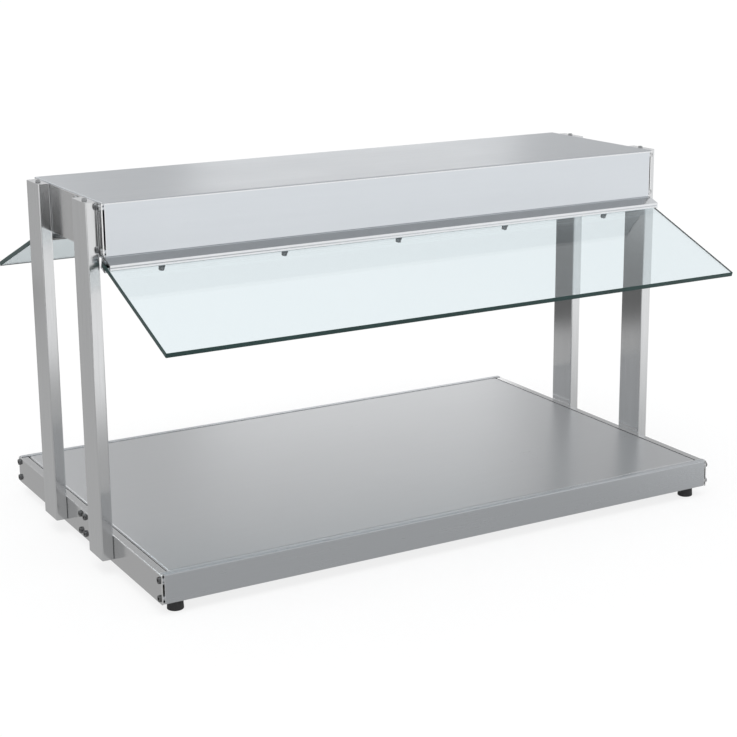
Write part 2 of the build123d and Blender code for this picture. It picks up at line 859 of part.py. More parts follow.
with BuildPart() as wire_guard:
    wire_span = 2 * (half_width - wire_end_margin)
    wire_count = int(wire_span / wire_pitch) + 1
    wire_z = lip_top + wire_radius
    cross_start = mouth_front + wire_end_gap
    cross_end = mouth_rear - wire_end_gap
    with BuildSketch(rear_plane(0, cross_start, wire_z)):
        with GridLocations(wire_pitch, 0, wire_count, 1):
            Circle(wire_radius)
    extrude(amount=cross_end - cross_start)
    with BuildSketch(Plane.YZ):
        for step in (-1, 0, 1):
            with Locations((element_y + step * wire_bars_apart, wire_z + 2 * wire_radius - wire_weld)):
                Circle(wire_radius)
    extrude(amount=(wire_count - 1) * wire_pitch / 2 + wire_bar_overhang, both=True)
finish(wire_guard, "wire_guard")


# Light lane: tray, sockets and lamps

with BuildPart() as lamp_tray:
    tray_front = tray_front_setback - housing_face
    tray_rear = divider_y - tray_rear_setback
    tray_path = [
        (tray_front - tray_foot, lip_top),
        (tray_front, lip_top),
        (tray_front + tray_slope, lip_top + tray_height),
        (tray_rear - tray_slope, lip_top + tray_height),
        (tray_rear, lip_top),
        (tray_rear + tray_foot, lip_top),
    ]
    with BuildSketch(Plane.YZ):
        with BuildLine():
            Polyline(*folded_sheet(tray_path, tray_sheet), close=True)
        make_face()
    extrude(amount=inner_half_width - reflector_end_gap, both=True)
finish(lamp_tray, "lamp_tray")

lamp_names = {-1: "lamp_left", 0: "lamp_middle", 1: "lamp_right"}


def socket_mouth(step):
    """Where a lamp leaves its socket, so that lamp and socket together are centred on their place."""
    return step * lamp_pitch + (socket_length - lamp_length) / 2


with BuildPart() as lamp_sockets:
    for step in lamp_names:
        mouth = Plane.YZ.offset(socket_mouth(step))
        with BuildSketch(mouth):
            with Locations((lamp_y, lamp_z)):
                Circle(socket_radius)
        extrude(amount=-socket_length)
        with BuildSketch(Plane.XY.offset(lamp_z)):
            with Locations((socket_mouth(step) - socket_length / 2, lamp_y)):
                Rectangle(bracket_length, bracket_width)
        extrude(amount=tray_height - lamp_height)
        with BuildSketch(mouth):
            with Locations((lamp_y, lamp_z)):
                Circle(lamp_base_radius + fit_clearance)
        extrude(amount=socket_floor - socket_length, mode=Mode.SUBTRACT)
finish(lamp_sockets, "lamp_sockets")


def lamp(step):
    """Tubular lamp lying along the tray, with its base in the socket."""
    centre = (socket_mouth(step), lamp_y, lamp_z)
    with BuildPart() as bulb:
        with BuildSketch(Plane(origin=centre, x_dir=(1, 0, 0), z_dir=(0, -1, 0))):
            with BuildLine():
                Polyline(
                    (lamp_length - lamp_radius, lamp_radius),
                    (lamp_radius, lamp_radius),
                    (fit_clearance, lamp_neck_radius),
                    (fit_clearance, lamp_base_radius),
                    (-lamp_base_length, lamp_base_radius),
                    (-lamp_base_length, 0),
                    (lamp_length, 0),
                )
                RadiusArc((lamp_length - lamp_radius, lamp_radius), (lamp_length, 0), lamp_radius)
            make_face()
        revolve(axis=Axis(centre, (1, 0, 0)))
    finish(bulb, lamp_names[step])


for step in lamp_names:
    lamp(step)


# Guards: rail, glass and gasket on each side, then their screws


def guard_point(face, along, square):
    """Point of a guard's section, measured along the glass and square to it from its upper corner."""
    out = housing_face - glass_setback + along * cos(guard_tilt) + square * sin(guard_tilt)
    up = housing_bottom - glass_drop - along * sin(guard_tilt) + square * cos(guard_tilt)
    return (face * out, up)


pocket_top = gasket_thickness + thread_clearance
pocket_bottom = -glass_thickness - pocket_top
jaw_underside = pocket_bottom - jaw_thickness
pocket_end = jaw_depth + cut_overrun


def guard_rectangle(face, along, square):
    """Corners of a rectangle that lies along the glass."""
    return [
        guard_point(face, along[0], square[0]),
        guard_point(face, along[1], square[0]),
        guard_point(face, along[1], square[1]),
        guard_point(face, along[0], square[1]),
    ]


def clamp_plane(face):
    """Plane on the underside of the lower jaw, looking away from the glass."""
    y, z = guard_point(face, clamp_screw_depth, jaw_underside)
    away = (0, -face * sin(guard_tilt), -cos(guard_tilt))
    return Plane(origin=(0, y, z), x_dir=(1, 0, 0), z_dir=away)


def guard_rail(face):
    """Rail with a flange under the housing, a sloping visor with a lip, and jaws for the glass."""
    visor_start = housing_face - visor_gap
    visor_end = housing_face + visor_reach
    slope = visor_fall / (visor_end - visor_start)
    visor_depth = guard_wall * (1 + slope**2) ** 0.5
    lip_bottom = housing_bottom - visor_fall - visor_lip
    lip_inside = visor_end - guard_wall
    groove_z = lip_bottom + visor_lip / 2
    flange_middle = housing_bottom - guard_wall / 2
    back = -pocket_top - jaw_back
    with BuildPart() as rail:
        with BuildSketch(Plane.YZ) as profile:
            with Locations((face * (visor_start + housing_face - guard_flange) / 2, flange_middle)):
                Rectangle(visor_start - housing_face + guard_flange, guard_wall)
            with BuildLine():
                Polyline(
                    (face * visor_start, housing_bottom),
                    (face * visor_end, housing_bottom - visor_fall),
                    (face * visor_end, lip_bottom),
                    (face * lip_inside, lip_bottom),
                    (face * lip_inside, housing_bottom - slope * (lip_inside - visor_start) - visor_depth),
                    (face * visor_start, housing_bottom - visor_depth),
                    close=True,
                )
            make_face()
            with BuildLine():
                Polyline(
                    guard_point(face, back, jaw_underside),
                    guard_point(face, jaw_depth, jaw_underside),
                    guard_point(face, jaw_depth, pocket_bottom),
                    guard_point(face, upper_jaw_depth, pocket_top),
                    (guard_point(face, upper_jaw_depth, pocket_top)[0], flange_middle),
                    (guard_point(face, back, pocket_top)[0], flange_middle),
                    guard_point(face, back, pocket_top),
                    close=True,
                )
            make_face()
            with BuildLine():
                Polyline(
                    *guard_rectangle(face, (-pocket_top, pocket_end), (pocket_bottom, pocket_top)),
                    close=True,
                )
            make_face(mode=Mode.SUBTRACT)
            with Locations((face * visor_end, groove_z)):
                RegularPolygon(lip_groove_depth, 4, mode=Mode.SUBTRACT)
            lip_corner = profile.vertices().sort_by_distance((face * visor_end, lip_bottom))[0]
            fillet(lip_corner, lip_edge_radius)
        extrude(amount=guard_width / 2, both=True)
        with BuildSketch(clamp_plane(face)):
            with Locations(*[(x, 0) for x in guard_screw_xs]):
                Circle(clamp_screw_radius + thread_clearance)
        extrude(amount=-jaw_thickness - thread_clearance, mode=Mode.SUBTRACT)
        with BuildSketch(Plane.XY.offset(housing_bottom)):
            with Locations(*[(x, face * (housing_face - rail_screw_inset)) for x in guard_screw_xs]):
                Circle(rail_screw_radius + thread_clearance)
        extrude(amount=-guard_wall, mode=Mode.SUBTRACT)
    finish(rail, f"{face_names[face]}_guard_rail")


def guard_glass(face):
    """Flat toughened pane with ground edges."""
    with BuildPart() as pane:
        with BuildSketch(Plane.YZ):
            with BuildLine():
                Polyline(*guard_rectangle(face, (0, glass_length), (-glass_thickness, 0)), close=True)
            make_face()
        extrude(amount=guard_width / 2, both=True)
        chamfer(pane.edges(), glass_edge)
    finish(pane, f"{face_names[face]}_guard_glass")


def guard_gasket(face):
    """Soft channel between the jaws and the pane."""
    around = (-glass_thickness - gasket_thickness, gasket_thickness)
    with BuildPart() as channel:
        with BuildSketch(Plane.YZ):
            with BuildLine():
                Polyline(*guard_rectangle(face, (-gasket_thickness, jaw_depth), around), close=True)
            make_face()
            with BuildLine():
                Polyline(*guard_rectangle(face, (0, pocket_end), (-glass_thickness, 0)), close=True)
            make_face(mode=Mode.SUBTRACT)
        extrude(amount=guard_width / 2, both=True)
    finish(channel, f"{face_names[face]}_guard_gasket")


for face in (-1, 1):
    guard_rail(face)
    guard_glass(face)
    guard_gasket(face)

with BuildPart() as guard_clamp_screws:
    for face in (-1, 1):
        with BuildSketch(clamp_plane(face)):
            with Locations(*[(x, 0) for x in guard_screw_xs]):
                Circle(clamp_screw_head_radius)
        extrude(amount=clamp_screw_head_height, taper=clamp_screw_taper)
        with BuildSketch(clamp_plane(face)):
            with Locations(*[(x, 0) for x in guard_screw_xs]):
                Circle(clamp_screw_radius)
        extrude(amount=-jaw_thickness - thread_clearance)
finish(guard_clamp_screws, "guard_clamp_screws")

with BuildPart() as guard_rail_screws:
    rail_screw_points = [
        (x, face * (housing_face - rail_screw_inset)) for x in guard_screw_xs for face in (-1, 1)
    ]
    with BuildSketch(Plane.XY.offset(housing_bottom - guard_wall)):
        with Locations(*rail_screw_points):
            Circle(rail_screw_head_radius)
    extrude(amount=-rail_screw_head_height, taper=screw_head_taper)
    with BuildSketch(Plane.XY.offset(housing_bottom - guard_wall)):
        with Locations(*rail_screw_points):
            Circle(rail_screw_radius)
    extrude(amount=guard_wall + panel_wall)
finish(guard_rail_screws, "guard_rail_screws")


# Controls on the operator's side


def rotary_control(name, outer, wall, z):
    """Control body behind a rear wall, with its shaft and knob."""
    plane = rear_plane(knob_x, outer, z)
    inner_plane = plane.offset(-wall)
    knob_plane = plane.offset(knob_gap)
    with BuildPart() as body:
        with BuildSketch(inner_plane):
            Rectangle(control_width, control_height)
        extrude(amount=-control_depth)
        with BuildSketch(inner_plane):
            Circle(bush_radius)
        extrude(amount=wall + bush_length)
        with BuildSketch(plane.offset(bush_length)):
            Circle(shaft_radius + thread_clearance)
        extrude(amount=-(bush_length + wall + shaft_seat + fit_clearance), mode=Mode.SUBTRACT)
    finish(body, f"{name}_body")

    with BuildPart() as shaft:
        with BuildSketch(inner_plane.offset(-shaft_seat)):
            Circle(shaft_radius)
        extrude(amount=shaft_seat + wall + knob_gap + knob_bore_depth - fit_clearance)
    finish(shaft, f"{name}_shaft")

    with BuildPart() as knob:
        with BuildSketch(knob_plane):
            Circle(knob_radius)
        extrude(amount=knob_skirt, taper=knob_skirt_taper)
        with BuildSketch(knob_plane):
            Circle(knob_grip_radius)
            with PolarLocations(knob_grip_radius + knob_flute_radius - knob_flute_depth, knob_flutes):
                Circle(knob_flute_radius, mode=Mode.SUBTRACT)
        extrude(amount=knob_height)
        with BuildSketch(knob_plane.offset(knob_height)):
            with Locations((0, -knob_grip_radius / 2)):
                Rectangle(knob_pointer_width, knob_pointer_length)
        extrude(amount=knob_pointer_height)
        with BuildSketch(knob_plane):
            Circle(shaft_radius + thread_clearance)
        extrude(amount=knob_bore_depth, mode=Mode.SUBTRACT)
    finish(knob, f"{name}_knob")


rotary_control("thermostat", half_depth, rail_wall, base_control_z)
rotary_control("heat_control", housing_face, panel_wall, housing_control_z)


def rocker_switch(name, outer, z):
    """Switch body with its bezel on a rear wall, and the rocker that tilts in it."""
    plane = rear_plane(rocker_x, outer, z)
    pivot = (rocker_x, outer + bezel_thickness - rocker_pivot_inset, z)
    tilt = radians(rocker_tilt)
    swing = rocker_half_height * cos(tilt) + rocker_crest * sin(tilt) + fit_clearance
    pivot_reach = rocker_width / 2 + rocker_pivot_length
    with BuildPart() as body:
        with BuildSketch(plane):
            RectangleRounded(bezel_width, bezel_height, bezel_corner_radius)
        extrude(amount=bezel_thickness)
        with BuildSketch(plane):
            Rectangle(switch_width, switch_height)
        extrude(amount=-switch_depth)
        with BuildSketch(plane.offset(bezel_thickness)):
            Rectangle(rocker_width + 2 * fit_clearance, 2 * swing)
        extrude(amount=-switch_pocket_depth, mode=Mode.SUBTRACT)
        with BuildSketch(Plane.YZ.offset(rocker_x)):
            with Locations((pivot[1], z)):
                Circle(rocker_pivot_radius + thread_clearance)
        extrude(amount=pivot_reach + thread_clearance, both=True, mode=Mode.SUBTRACT)
    finish(body, f"{name}_switch_body")

    with BuildPart() as rocker:
        profile_plane = Plane(origin=pivot, x_dir=(0, cos(tilt), -sin(tilt)), z_dir=(1, 0, 0))
        with BuildSketch(profile_plane):
            with BuildLine():
                Polyline(
                    (rocker_crest, rocker_half_height),
                    (rocker_valley, 0),
                    (rocker_crest, -rocker_half_height),
                    (-rocker_valley, -rocker_half_height),
                    (-rocker_back, 0),
                    (-rocker_valley, rocker_half_height),
                    close=True,
                )
            make_face()
        extrude(amount=rocker_width / 2, both=True)
        with BuildSketch(profile_plane):
            Circle(rocker_pivot_radius)
        extrude(amount=pivot_reach, both=True)
    finish(rocker, f"{name}_rocker")


rocker_switch("power", half_depth, base_control_z)
rocker_switch("lights", housing_face, housing_control_z)

with BuildPart() as pilot_lamp:
    pilot_plane = rear_plane(pilot_from_end - half_width, half_depth, base_control_z)
    with BuildSketch(pilot_plane):
        Circle(pilot_radius)
    extrude(amount=-pilot_depth)
    with BuildSketch(pilot_plane):
        Circle(pilot_flange_radius)
    extrude(amount=pilot_lens_height, taper=pilot_lens_taper)
finish(pilot_lamp, "pilot_lamp")

with BuildPart() as cord_gland:
    gland_plane = rear_plane(gland_from_end - half_width, half_depth, base_control_z)
    with BuildSketch(gland_plane):
        Circle(gland_radius)
    extrude(amount=-rail_wall)
    with BuildSketch(gland_plane):
        Circle(gland_flange_radius)
    extrude(amount=gland_flange_height, taper=gland_taper)
    with BuildSketch(gland_plane.offset(-rail_wall)):
        Circle(gland_snap_radius)
    extrude(amount=-gland_snap_height, taper=gland_taper)
    with BuildSketch(gland_plane.offset(gland_flange_height)):
        Circle(gland_bore_radius)
    extrude(amount=-(gland_flange_height + rail_wall + gland_snap_height), mode=Mode.SUBTRACT)
finish(cord_gland, "cord_gland")


# Wiring: terminal block in the base, and the loom up the rear left post

terminal_x = terminal_from_end - half_width
terminal_y = half_depth - terminal_from_face

with BuildPart() as terminal_block:
    with BuildSketch(Plane.XY.offset(cover_top)):
        with Locations((terminal_x, terminal_y)):
            Rectangle(terminal_length, terminal_width)
    extrude(amount=terminal_height)
    with BuildSketch(Plane.XY.offset(cover_top + terminal_height)):
        with Locations((terminal_x, terminal_y)):
            with GridLocations(terminal_length / terminal_count, terminal_width / 2, terminal_count, 2):
                Circle(terminal_well_radius)
    extrude(amount=-terminal_well_depth, mode=Mode.SUBTRACT)
finish(terminal_block, "terminal_block")

with BuildPart() as supply_loom:
    loom_x = loom_from_end - half_width
    loom_start = (terminal_x - terminal_length / 2, terminal_y, loom_low)
    with BuildLine() as route:
        FilletPolyline(
            loom_start,
            (loom_x, terminal_y, loom_low),
            (loom_x, loom_y, loom_low),
            (-post_x, loom_y, loom_low),
            (-post_x, loom_y, loom_high),
            (knob_x - control_width / 2, loom_y, loom_high),
            radius=loom_bend,
        )
    with BuildSketch(Plane(origin=loom_start, z_dir=(-1, 0, 0))):
        Circle(loom_radius)
    sweep()
finish(supply_loom, "supply_loom")
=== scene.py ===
import json
from math import atan2, cos, radians, sin, tau

import bmesh
import bpy
from mathutils import Matrix, Vector


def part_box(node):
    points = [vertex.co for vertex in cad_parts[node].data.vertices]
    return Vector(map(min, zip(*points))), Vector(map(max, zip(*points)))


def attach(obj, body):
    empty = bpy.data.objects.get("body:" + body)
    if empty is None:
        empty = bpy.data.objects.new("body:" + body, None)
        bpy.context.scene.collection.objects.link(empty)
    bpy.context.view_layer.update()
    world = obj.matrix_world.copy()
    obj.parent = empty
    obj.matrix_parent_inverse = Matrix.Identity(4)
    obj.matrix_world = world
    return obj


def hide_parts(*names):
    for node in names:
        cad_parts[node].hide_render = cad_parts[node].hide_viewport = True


# A buffet warmer in brushed aluminium and glass, on a pale studio floor.
# Metres, in the frame of the part.

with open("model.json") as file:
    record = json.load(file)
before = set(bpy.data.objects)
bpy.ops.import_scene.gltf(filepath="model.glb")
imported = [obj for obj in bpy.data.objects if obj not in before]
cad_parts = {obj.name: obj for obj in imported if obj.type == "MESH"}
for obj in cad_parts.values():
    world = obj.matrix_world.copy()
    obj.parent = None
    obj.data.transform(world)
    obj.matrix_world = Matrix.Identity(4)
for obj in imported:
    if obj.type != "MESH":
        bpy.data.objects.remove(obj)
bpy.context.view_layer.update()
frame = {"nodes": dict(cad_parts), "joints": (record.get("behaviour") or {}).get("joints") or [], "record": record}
scene = bpy.context.scene

# Camera
IMAGE = 737
CAMERA_TURN = radians(-29.519)
CAMERA_PITCH = radians(-13.734)
CAMERA_ROLL = radians(-0.524)
CAMERA_AWAY = 2.152837
CAMERA_ASIDE = 0.014024
CAMERA_HEIGHT = 0.760113
FOCAL_PIXELS = 1681.833
SENSOR = 36.0
LENS_RISE = -0.06
NEAREST, FARTHEST = 0.05, 200.0

# Metal finishes. Stretch is how fine the brushing is along each axis. Some finishes also get a reach:
# how far from the corners their edges are painted bright, as worn bare metal and as a painted edge highlight.
ALONG_WIDTH = (30, 1500, 1500)
ALONG_DEPTH = (1500, 30, 1500)
ALONG_HEIGHT = (1500, 1500, 30)
WIRE_GRAIN = (300, 300, 300)
CLAMP_GRAIN = (600, 600, 600)
SCREW_GRAIN = (900, 900, 900)
SCRATCH_DEPTH = 0.0002
EDGE_REACH = 0.0016
EDGE_START, EDGE_FULL = 0.99, 0.86  # how square the rounded corner still is to the face
# Painted highlight: the bright tone that edges are lightened towards, for worn bare metal and for the light along
# an edge.
BARE_METAL_HIGHLIGHT = (0.97, 0.97, 0.97, 1)
METALS = {
    "satin_panel": dict(
        light=0.73, dark=0.71, smooth=0.26, rough=0.33, bump=0.02, warm=-0.045, wear_highlight_reach=EDGE_REACH
    ),
    "satin_guard_rail": dict(light=0.82, dark=0.78, smooth=0.17, rough=0.23, bump=0.03, warm=-0.02),
    # Painted shade: a darker copy of the panels' satin aluminium for the base rails, shaded for how the light
    # falls low on the base.
    "shaded_satin_base_rail": dict(
        light=0.61, dark=0.57, smooth=0.24, rough=0.34, bump=0.04, warm=-0.035, wear_highlight_reach=EDGE_REACH
    ),
    "brushed_cover": dict(
        light=0.60, dark=0.56, smooth=0.26, rough=0.36, bump=0.05, warm=-0.04, wear_highlight_reach=EDGE_REACH
    ),
    # Painted shade: darker than the panels' aluminium, for the shade that falls on the end faces.
    "shaded_brushed_end_plate": dict(
        light=0.65, dark=0.62, smooth=0.13, rough=0.19, bump=0.02, warm=-0.005, wear_highlight_reach=EDGE_REACH,
        stretch=ALONG_DEPTH,
    ),
    "brushed_post": dict(
        light=0.74, dark=0.63, smooth=0.10, rough=0.19, bump=0.04, warm=-0.01, stretch=ALONG_HEIGHT
    ),
    "satin_shelf": dict(light=0.60, dark=0.58, smooth=0.27, rough=0.30, bump=0.02, wear_highlight_reach=EDGE_REACH),
    "bright_reflector": dict(light=0.90, dark=0.82, smooth=0.10, rough=0.22, bump=0.05),
    "heater_sheath": dict(light=0.24, dark=0.13, smooth=0.35, rough=0.55, bump=0.12, warm=0.06),
    "plated_wire": dict(
        light=0.80, dark=0.70, smooth=0.12, rough=0.25, bump=0.05, stretch=WIRE_GRAIN
    ),
    "clamp_steel": dict(
        light=0.40, dark=0.26, smooth=0.20, rough=0.35, bump=0.08, stretch=CLAMP_GRAIN
    ),
    "plated_screw": dict(
        light=0.52, dark=0.34, smooth=0.15, rough=0.30, bump=0.1, stretch=SCREW_GRAIN
    ),
    # Painted shade: the plated steel screws made near black for the shadow round their heads; the housing end and
    # post cap screws keep the lighter plated finish.
    "shade_darkened_screw": dict(
        light=0.20, dark=0.09, smooth=0.15, rough=0.30, bump=0.1, stretch=SCREW_GRAIN
    ),
}

# Moulded, fired and painted finishes. Grain is how fine their speckle is.
GRAIN_DEPTH = 0.0003
MOULDINGS = {
    "black_rubber": dict(
        light=(0.030, 0.030, 0.031), dark=(0.016, 0.016, 0.017),
        smooth=0.5, rough=0.75, grain=1400, bump=0.2,
    ),
    "black_plastic": dict(
        light=(0.030, 0.030, 0.032), dark=(0.018, 0.018, 0.020),
        smooth=0.28, rough=0.42, grain=1600, bump=0.08,
    ),
    "fired_ceramic": dict(
        light=(0.86, 0.84, 0.77), dark=(0.76, 0.73, 0.65),
        smooth=0.45, rough=0.65, grain=1100, bump=0.1,
    ),
    "mineral_wool": dict(
        light=(0.66, 0.60, 0.42), dark=(0.50, 0.45, 0.30),
        smooth=0.8, rough=0.95, grain=500, bump=0.6,
    ),
    "amber_lens": dict(
        light=(0.95, 0.42, 0.05), dark=(0.80, 0.30, 0.03),
        smooth=0.08, rough=0.18, grain=600, bump=0.04,
    ),
    "frosted_lamp": dict(
        light=(0.95, 0.93, 0.88), dark=(0.88, 0.86, 0.80),
        smooth=0.25, rough=0.4, grain=400, bump=0.05, Subsurface_Weight=0.3,
    ),
    "ground_glass_edge": dict(
        light=(0.010, 0.048, 0.046), dark=(0.004, 0.026, 0.024),
        smooth=0.3, rough=0.5, grain=700, bump=0.1,
    ),
    "white_paint": dict(
        light=(0.86, 0.86, 0.84), dark=(0.76, 0.76, 0.74),
        smooth=0.4, rough=0.6, grain=1500, bump=0.05,
    ),
    "black_ink": dict(
        light=(0.024, 0.024, 0.026), dark=(0.014, 0.014, 0.016),
        smooth=0.45, rough=0.6, grain=1500, bump=0.05,
    ),
}

# Which finish each material slot takes, and the pieces that have one of their own
SLOT_FINISH = {
    "satin_aluminium": "satin_panel",
    "brushed_post": "brushed_post",
    "brushed_sheet": "brushed_cover",
    "shelf_metal": "satin_shelf",
    "reflector_metal": "bright_reflector",
    "plated_steel": "shade_darkened_screw",
    "wire_steel": "plated_wire",
    "element_steel": "heater_sheath",
    "clear_glass": "clear_pane",
    "lamp_glass": "frosted_lamp",
    "black_rubber": "black_rubber",
    "white_ceramic": "fired_ceramic",
    "mineral_wool": "mineral_wool",
    "black_plastic": "black_plastic",
    "amber_lens": "amber_lens",
}
OWN_FINISH = {  # by the end of a piece's name
    "end_plate": "shaded_brushed_end_plate",
    "base_front_rail": "shaded_satin_base_rail",
    "base_rear_rail": "shaded_satin_base_rail",
    "guard_rail": "satin_guard_rail",
    "guard_clamp_screws": "clamp_steel",
    "post_cap_screws": "plated_screw",
    "housing_end_screws": "plated_screw",
}

# Glass guards
GLASS_TINTS = ((0.80, 0.88, 0.905, 1), (0.82, 0.89, 0.915, 1))
GLASS_ROUGHNESS = 0.01
GLASS_IOR = 1.5
GUARD_ANGLE = radians(21)
PANE_FACE = 0.9  # how square to the pane a face of it is, at least

# Marks on the controls, which sit on the operator's side
REAR_SIDE = Matrix(((-1, 0, 0, 0), (0, 0, 1, 0), (0, 1, 0, 0), (0, 0, 0, 1)))  # right, up and out
MARK_HEIGHT = 0.00012
RING_STEPS = 32
SCALE_STEPS = 10
SCALE_SWEEP = radians(270)
LONG_TICK_EVERY = 5
TICK_HALF = 0.0003
TICK_FLARE = 1.2
LONG_TICK_START = 0.0102
SHORT_TICK_START = 0.0108
TICK_END = 0.0120
SKIRT_OUT = 0.006  # from the panel to the face of a knob's skirt
POINTER_OUT = 0.018  # from the panel to the face of a knob's pointer
POINTER_HALF = 0.0005
POINTER_START = 0.0020
POINTER_END = 0.0077
INDEX_TIP = 0.0142
INDEX_BACK = 0.0172
INDEX_HALF = 0.0012
ROCKER_LEAN = radians(8)
ROCKER_HALF = 0.0082
ROCKER_CREST = 0.0034
ROCKER_VALLEY = 0.002
MARK_UP = 0.0046  # from the middle of a rocker to the middle of a mark
MARK_HALF = 0.0017
ON_BAR_HALF = 0.00045
OFF_RING_INNER = 0.0011

# Studio
FLOOR_SIZE = 60.0
FLOOR_TONES = ((0.93, 0.93, 0.93, 1), (0.95, 0.95, 0.95, 1))
FLOOR_WHITE = 0.8  # how much of the floor's own white the eye sees under the shadow
FLAGS = [  # name, grey, middle, half size, width of the soft sides, turn
    ("grey_flag", 0.5, (-1.1, 2.55, 0.001), (2.1, 3.45), (0.8, 0.35), 0.0),
    ("dark_flag", 0.02, (-1.1, -1.9, 0.002), (0.5, 1.0), (0.15, 0.15), radians(-20.7)),
    ("side_flag", 0.14, (-0.36, 1.1, 0.003), (0.32, 0.66), (0.1, 0.15), radians(23)),
    ("hung_flag", 0.34, (1.4, -1.5, 2.3), (1.6, 0.8), (0.4, 0.35), 0.0),
]
SURROUND = [  # height, from the horizon to straight up, and grey
    (0.0, 1.0),
    (0.08, 0.86),
    (0.2, 0.66),
    (0.33, 0.54),
    (0.5, 0.62),
    (0.7, 0.78),
    (0.88, 1.0),
    (1.0, 1.2),
]
SURROUND_TINT = (0.985, 0.99, 1.0)
OVERHEAD_STRENGTH = 1.1
OVERHEAD_ANGLE = radians(50)
OVERHEAD_SPOT = (-1.2, -1.4, 5.0)
SOFTBOXES = [  # name, size, watts, spot, target
    ("sheen_softbox", (1.2, 0.5), 1.7, (1.94, 3.5, 1.0), (0, 0, 0.45)),
    ("rim_softbox", (1.6, 0.6), 6.0, (-0.1, 3.4, 2.2), (0, 0, 0.2)),
    ("edge_softbox", (1.4, 0.8), 2.0, (2.0, -2.6, 1.3), (0, 0, 0.3)),
]


def place_camera():
    """Camera at the height and side of the picture, tipped down on the warmer."""
    ahead = Vector((-sin(CAMERA_TURN), cos(CAMERA_TURN), 0))
    right = Vector((cos(CAMERA_TURN), sin(CAMERA_TURN), 0))
    up = Vector((0, 0, 1))
    look = ahead * cos(CAMERA_PITCH) + up * sin(CAMERA_PITCH)
    head = up * cos(CAMERA_PITCH) - ahead * sin(CAMERA_PITCH)
    side = right * cos(CAMERA_ROLL) + head * sin(CAMERA_ROLL)
    top = head * cos(CAMERA_ROLL) - right * sin(CAMERA_ROLL)
    data = bpy.data.cameras.new("studio_camera")
    camera = bpy.data.objects.new("studio_camera", data)
    scene.collection.objects.link(camera)
    spot = -ahead * CAMERA_AWAY + right * CAMERA_ASIDE + up * CAMERA_HEIGHT
    facing = Matrix((side, top, -look)).transposed().to_4x4()
    camera.matrix_world = Matrix.Translation(spot) @ facing
    data.sensor_width = SENSOR
    data.lens = FOCAL_PIXELS / IMAGE * SENSOR
    data.shift_y = LENS_RISE
    data.clip_start = NEAREST
    data.clip_end = FARTHEST
    data.dof.use_dof = False
    scene.camera = camera


# Shader building blocks

MIX_SOCKETS = {"FLOAT": (2, 3, 0), "RGBA": (6, 7, 2)}  # a Mix node's two inputs and its result


def add(tree, kind, **settings):
    """A node of the given kind; settings are its properties, or values for its named inputs."""
    node = tree.nodes.new(kind)
    for name, value in settings.items():
        if name in node.bl_rna.properties:
            setattr(node, name, value)
        else:
            node.inputs[name.replace("_", " ")].default_value = value
    return node


def feed(tree, source, target):
    """Join an output to an input, or give the input a fixed value."""
    if isinstance(source, bpy.types.NodeSocket):
        tree.links.new(source, target)
    else:
        target.default_value = source


def mix(tree, kind, share, first, second):
    """Result of blending two colours or two values."""
    node = add(tree, "ShaderNodeMix", data_type=kind)
    low, high, result = MIX_SOCKETS[kind]
    feed(tree, share, node.inputs["Factor"])
    feed(tree, first, node.inputs[low])
    feed(tree, second, node.inputs[high])
    return node.outputs[result]


def compute(tree, kind, operation, *sources):
    """Result of a Math or Vector Math node."""
    node = add(tree, kind, operation=operation)
    for target, source in zip(node.inputs, sources):
        feed(tree, source, target)
    return node.outputs["Value" if operation == "DOT_PRODUCT" else 0]


def number_math(tree, operation, *sources):
    return compute(tree, "ShaderNodeMath", operation, *sources)


def vector_math(tree, operation, *sources):
    return compute(tree, "ShaderNodeVectorMath", operation, *sources)


def noise(tree, place, **settings):
    """Noise over the given coordinates."""
    node = add(tree, "ShaderNodeTexNoise", **settings)
    feed(tree, place, node.inputs["Vector"])
    return node


def spread(tree, source, start, end, interpolation="LINEAR"):
    """Stretch of a value between two limits, from none to all."""
    node = add(
        tree, "ShaderNodeMapRange", interpolation_type=interpolation, From_Min=start, From_Max=end
    )
    feed(tree, source, node.inputs["Value"])
    return node.outputs[0]


def object_place(tree):
    """Coordinates that stay with the piece."""
    return add(tree, "ShaderNodeTexCoord").outputs["Object"]


def new_group(name, inputs, outputs):
    """An empty shader group with its sockets, and its two end nodes."""
    tree = bpy.data.node_groups.new(name, "ShaderNodeTree")
    for socket, kind, value in inputs:
        made = tree.interface.new_socket(name=socket, in_out="INPUT", socket_type=kind)
        made.default_value = value
    for socket, kind in outputs:
        tree.interface.new_socket(name=socket, in_out="OUTPUT", socket_type=kind)
    return tree, tree.nodes.new("NodeGroupInput"), tree.nodes.new("NodeGroupOutput")


